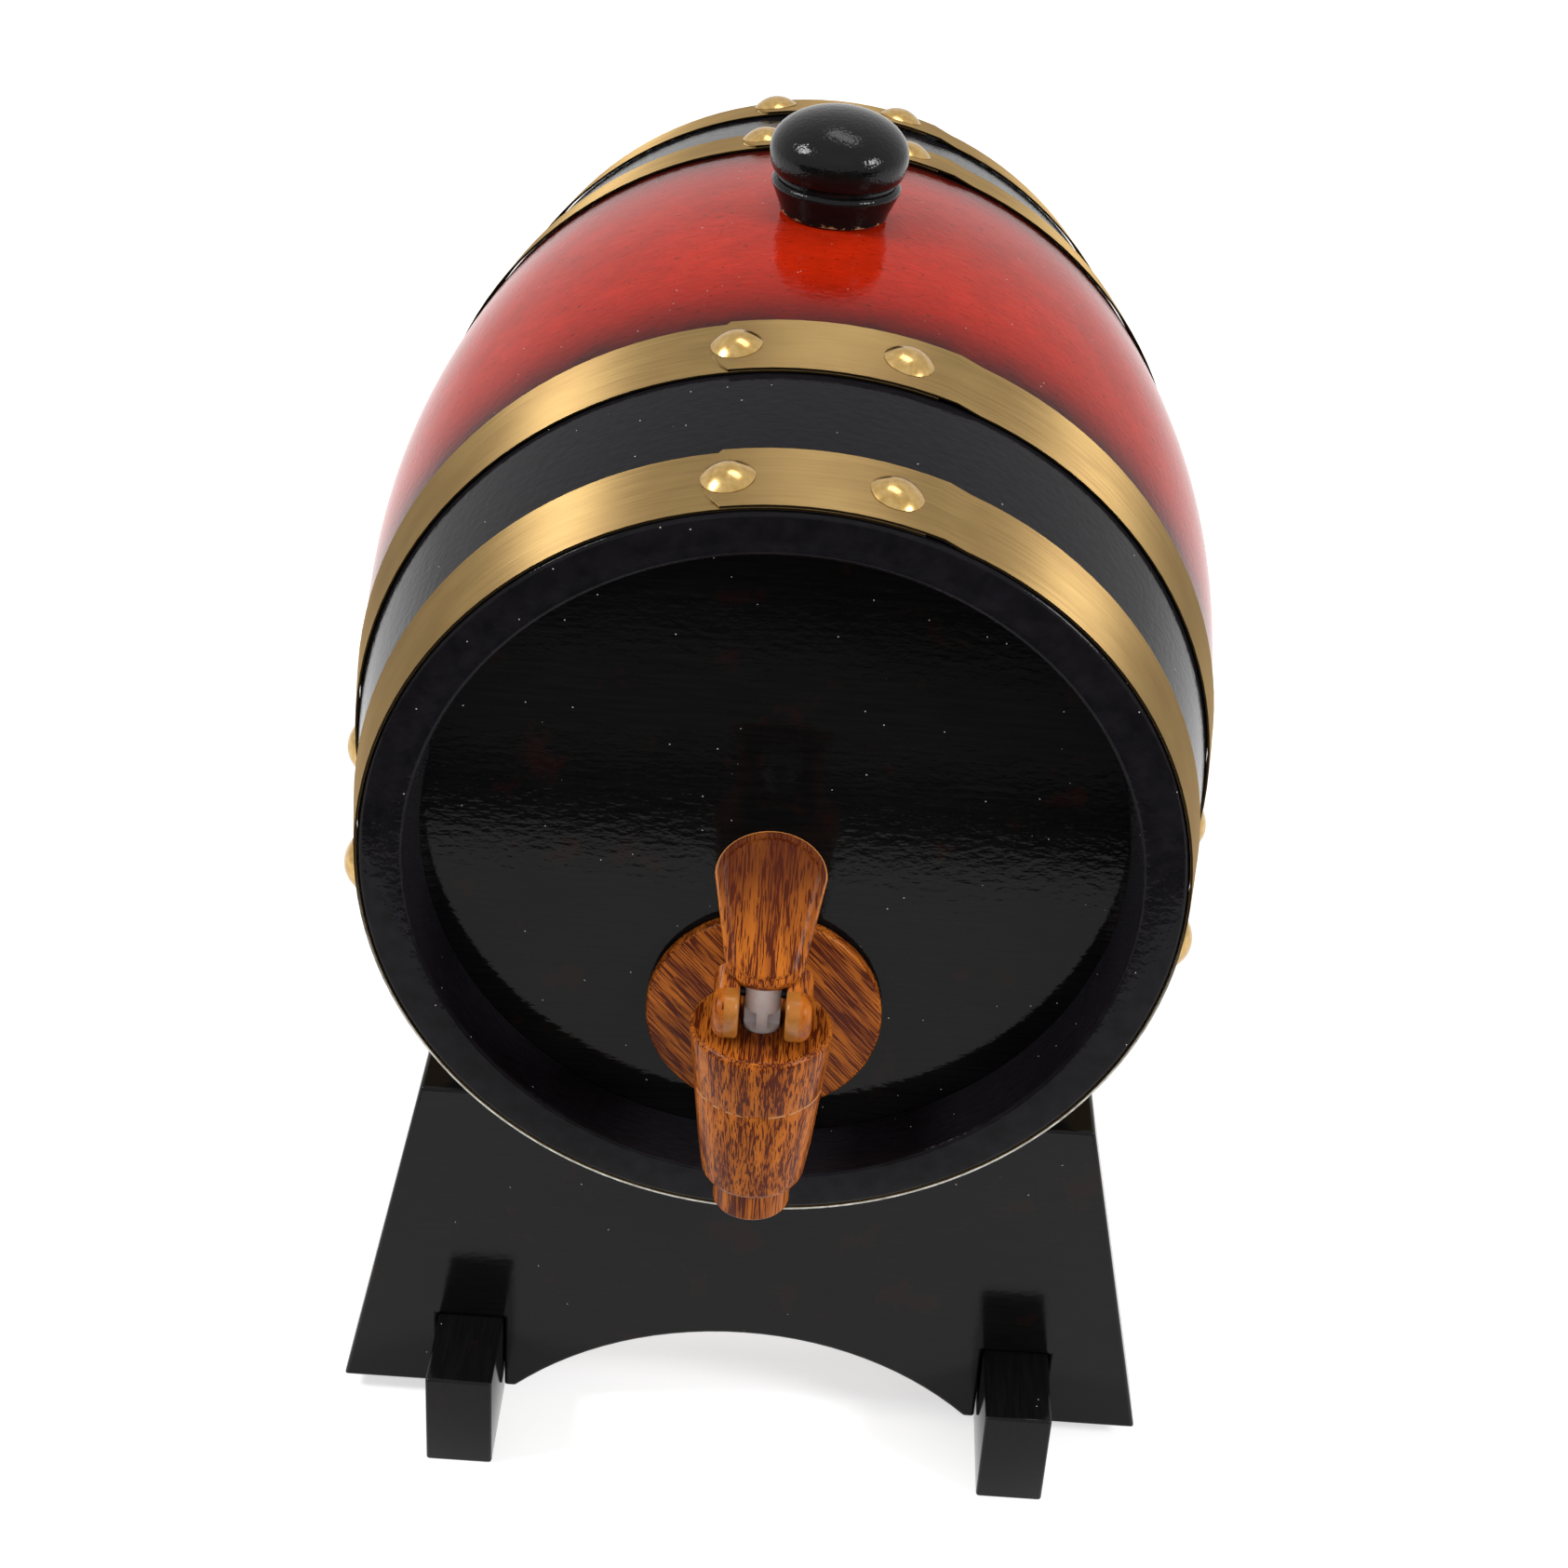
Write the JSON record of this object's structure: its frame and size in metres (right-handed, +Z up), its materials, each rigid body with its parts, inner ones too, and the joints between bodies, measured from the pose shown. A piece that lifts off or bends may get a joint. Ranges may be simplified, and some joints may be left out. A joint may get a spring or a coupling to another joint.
{
  "type": "oak cask drink dispenser",
  "caption": "Table-top oak cask lying on a cradle stand, with metal hoops, a bung on top and a lever tap in its front head.",
  "frame": {"origin": "on the table, under the middle of the whole object's bounding box", "axes": "+Z up, -Y out of the front head towards the user, with the cask and its shank along Y, +X to the right as seen from the front"},
  "size_m": [0.181, 0.257, 0.2657],
  "materials": {
    "red_lacquered_oak": "gloss orange-red lacquer darkening to black near the hoops",
    "black_lacquered_oak": "gloss black lacquer over oak",
    "brushed_brass": "brushed along the strip",
    "polished_brass": "polished",
    "woodgrain_abs": "satin printed wood grain",
    "white_acetal": "pearly moulded acetal",
    "black_nylon": "moulded nylon",
    "silicone_rubber": "matte translucent rubber",
    "stainless_steel": "plain steel",
    "blackened_steel": "blackened steel"
  },
  "bodies": {
    "cask": {"stave_bung": "red_lacquered_oak", "stave_01": "red_lacquered_oak", "stave_02": "red_lacquered_oak", "stave_03": "red_lacquered_oak", "stave_04": "red_lacquered_oak", "stave_05": "red_lacquered_oak", "stave_06": "red_lacquered_oak", "stave_07": "red_lacquered_oak", "stave_08": "red_lacquered_oak", "stave_09": "red_lacquered_oak", "stave_10": "red_lacquered_oak", "stave_11": "red_lacquered_oak", "front_head": "black_lacquered_oak", "rear_head": "black_lacquered_oak", "front_chime_hoop": "brushed_brass", "front_quarter_hoop": "brushed_brass", "rear_quarter_hoop": "brushed_brass", "rear_chime_hoop": "brushed_brass", "front_chime_hoop_nail_top_left": "polished_brass", "front_chime_hoop_nail_top_right": "polished_brass", "front_chime_hoop_nail_left": "polished_brass", "front_chime_hoop_nail_right": "polished_brass", "front_quarter_hoop_nail_top_left": "polished_brass", "front_quarter_hoop_nail_top_right": "polished_brass", "front_quarter_hoop_nail_left": "polished_brass", "front_quarter_hoop_nail_right": "polished_brass", "rear_quarter_hoop_nail_top_left": "polished_brass", "rear_quarter_hoop_nail_top_right": "polished_brass", "rear_quarter_hoop_nail_left": "polished_brass", "rear_quarter_hoop_nail_right": "polished_brass", "rear_chime_hoop_nail_top_left": "polished_brass", "rear_chime_hoop_nail_top_right": "polished_brass", "rear_chime_hoop_nail_left": "polished_brass", "rear_chime_hoop_nail_right": "polished_brass", "tap_body": "woodgrain_abs", "tap_bonnet": "woodgrain_abs", "tap_flange": "woodgrain_abs", "outer_gasket": "silicone_rubber", "inner_gasket": "silicone_rubber", "shank_nut": "black_nylon", "stem_seal": "silicone_rubber", "valve_spring": "stainless_steel", "front_stand_panel": "black_lacquered_oak", "rear_stand_panel": "black_lacquered_oak", "left_stand_bar": "black_lacquered_oak", "right_stand_bar": "black_lacquered_oak", "stand_screw_front_left": "stainless_steel", "stand_screw_front_right": "stainless_steel", "stand_screw_rear_left": "stainless_steel", "stand_screw_rear_right": "stainless_steel"},
    "stem": {"valve_stem": "white_acetal", "seat_washer": "silicone_rubber"},
    "lever": {"tap_lever": "woodgrain_abs", "lever_pin": "blackened_steel"},
    "bung": {"bung": "black_lacquered_oak"}
  },
  "joints": [
    {"name": "stem_slide", "type": "slide", "parent": "cask", "child": "stem", "axis": [0, 0, 1], "range_m": [0, 0.0055], "stiffness_N_per_m": 300, "springref_m": -0.01, "deforming": ["valve_spring"]},
    {"name": "lever_hinge", "type": "hinge", "parent": "stem", "child": "lever", "pos_m": [0, -0.11545, 0.1464], "axis": [1, 0, 0], "range_deg": [0, 90]},
    {"name": "bung_lift", "type": "slide", "parent": "cask", "child": "bung", "axis": [0.0349, 0, 0.9994], "range_m": [0, 0.03]}
  ],
  "couplings": [
    {"joint": "lever_hinge", "follows": "stem_slide", "rad_per_m": 285.6}
  ]
}
